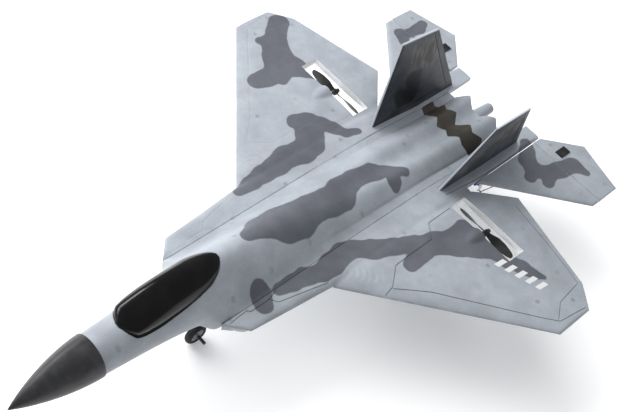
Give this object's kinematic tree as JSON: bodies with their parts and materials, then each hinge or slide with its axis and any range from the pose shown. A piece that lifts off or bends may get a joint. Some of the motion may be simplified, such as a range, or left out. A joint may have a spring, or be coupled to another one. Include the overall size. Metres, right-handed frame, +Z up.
{
  "type": "rc jet plane",
  "caption": "Foam model jet with a propeller in a slot through each wing, hinged elevators worked by pushrods, lift-off canopy and rolling wheels.",
  "frame": {"origin": "on the floor under the middle of the span and of the overall length, wheels standing on Z = 0", "axes": "+X forward to the nose, +Y to the left wing tip, +Z up"},
  "size_m": [0.8919, 0.64, 0.255],
  "materials": {
    "foam": "moulded bead foam, painted light blue-grey",
    "foam_dark": "bead foam, painted dark grey",
    "cone_black": "satin black moulded plastic",
    "canopy_black": "gloss black",
    "black_plastic": "injection moulded nylon",
    "prop_black": "injection moulded, semi-gloss",
    "white_plastic": "moulded nylon",
    "grey_plastic": "moulded plastic",
    "servo_blue": "tinted case",
    "spring_wire": "drawn wire",
    "motor_steel": "deep drawn can",
    "carbon_tube": "pultruded carbon",
    "ply": "thin birch ply",
    "cell_wrap": "shrink wrap",
    "strap": "woven hook and loop",
    "board": "glass-epoxy circuit board",
    "rubber": "soft foam rubber"
  },
  "bodies": {
    "airframe": {"fuselage": "foam", "nose_cone": "cone_black", "wing_left": "foam", "wing_right": "foam", "stab_left": "foam", "stab_right": "foam", "fin_left": "foam_dark", "fin_right": "foam_dark", "wing_spar": "carbon_tube", "bay_tray": "ply", "battery": "cell_wrap", "battery_strap": "strap", "control_board": "board", "motor_left": "motor_steel", "motor_right": "motor_steel", "motor_mount_left": "black_plastic", "motor_mount_right": "black_plastic", "servo_left": "servo_blue", "servo_right": "servo_blue", "nose_plate": "white_plastic", "nose_leg": "spring_wire", "nose_keeper": "black_plastic", "main_plate_left": "white_plastic", "main_plate_right": "white_plastic", "main_leg_left": "spring_wire", "main_leg_right": "spring_wire", "main_keeper_left": "black_plastic", "main_keeper_right": "black_plastic"},
    "prop_left": {"prop_shaft_left": "spring_wire", "propeller_left": "prop_black", "prop_nut_left": "black_plastic"},
    "elevator_left": {"elevator_left": "foam", "horn_plate_left": "black_plastic", "control_horn_left": "black_plastic"},
    "servo_arm_left": {"servo_arm_left": "white_plastic"},
    "pushrod_left": {"pushrod_left": "spring_wire"},
    "main_wheel_left": {"main_tyre_left": "rubber", "main_hub_left": "grey_plastic"},
    "prop_right": {"prop_shaft_right": "spring_wire", "propeller_right": "prop_black", "prop_nut_right": "black_plastic"},
    "elevator_right": {"elevator_right": "foam", "horn_plate_right": "black_plastic", "control_horn_right": "black_plastic"},
    "servo_arm_right": {"servo_arm_right": "white_plastic"},
    "pushrod_right": {"pushrod_right": "spring_wire"},
    "main_wheel_right": {"main_tyre_right": "rubber", "main_hub_right": "grey_plastic"},
    "nose_wheel": {"nose_tyre": "rubber", "nose_hub": "grey_plastic"},
    "canopy": {"canopy": "canopy_black"}
  },
  "joints": [
    {"name": "prop_spin_left", "type": "hinge", "parent": "airframe", "child": "prop_left", "pos_m": [-0.203, 0.151, 0.1185], "axis": [1, 0, 0], "continuous": true},
    {"name": "elevator_hinge_left", "type": "hinge", "parent": "airframe", "child": "elevator_left", "pos_m": [-0.3855, 0.148, 0.118], "axis": [0, 1, 0], "range_deg": [-18, 18]},
    {"name": "servo_turn_left", "type": "hinge", "parent": "airframe", "child": "servo_arm_left", "pos_m": [-0.27, 0.087, 0.108], "axis": [0, 1, 0], "range_deg": [-18, 18]},
    {"name": "pushrod_swing_left", "type": "hinge", "parent": "servo_arm_left", "child": "pushrod_left", "pos_m": [-0.27, 0.087, 0.094], "axis": [0, 1, 0], "range_deg": [-18, 18]},
    {"name": "main_wheel_spin_left", "type": "hinge", "parent": "airframe", "child": "main_wheel_left", "pos_m": [-0.114, 0.0955, 0.0165], "axis": [0, 1, 0], "continuous": true},
    {"name": "prop_spin_right", "type": "hinge", "parent": "airframe", "child": "prop_right", "pos_m": [-0.203, -0.151, 0.1185], "axis": [1, 0, 0], "continuous": true},
    {"name": "elevator_hinge_right", "type": "hinge", "parent": "airframe", "child": "elevator_right", "pos_m": [-0.3855, -0.148, 0.118], "axis": [0, 1, 0], "range_deg": [-18, 18]},
    {"name": "servo_turn_right", "type": "hinge", "parent": "airframe", "child": "servo_arm_right", "pos_m": [-0.27, -0.087, 0.108], "axis": [0, 1, 0], "range_deg": [-18, 18]},
    {"name": "pushrod_swing_right", "type": "hinge", "parent": "servo_arm_right", "child": "pushrod_right", "pos_m": [-0.27, -0.087, 0.094], "axis": [0, 1, 0], "range_deg": [-18, 18]},
    {"name": "main_wheel_spin_right", "type": "hinge", "parent": "airframe", "child": "main_wheel_right", "pos_m": [-0.114, -0.0955, 0.0165], "axis": [0, 1, 0], "continuous": true},
    {"name": "nose_wheel_spin", "type": "hinge", "parent": "airframe", "child": "nose_wheel", "pos_m": [0.165, 0, 0.0165], "axis": [0, 1, 0], "continuous": true},
    {"name": "canopy_lift", "type": "slide", "parent": "airframe", "child": "canopy", "axis": [0, 0, 1], "range_m": [0, 0.06]}
  ],
  "couplings": [
    {"joint": "servo_turn_left", "follows": "elevator_hinge_left", "ratio": 1},
    {"joint": "pushrod_swing_left", "follows": "elevator_hinge_left", "ratio": -1},
    {"joint": "servo_turn_right", "follows": "elevator_hinge_right", "ratio": 1},
    {"joint": "pushrod_swing_right", "follows": "elevator_hinge_right", "ratio": -1}
  ]
}
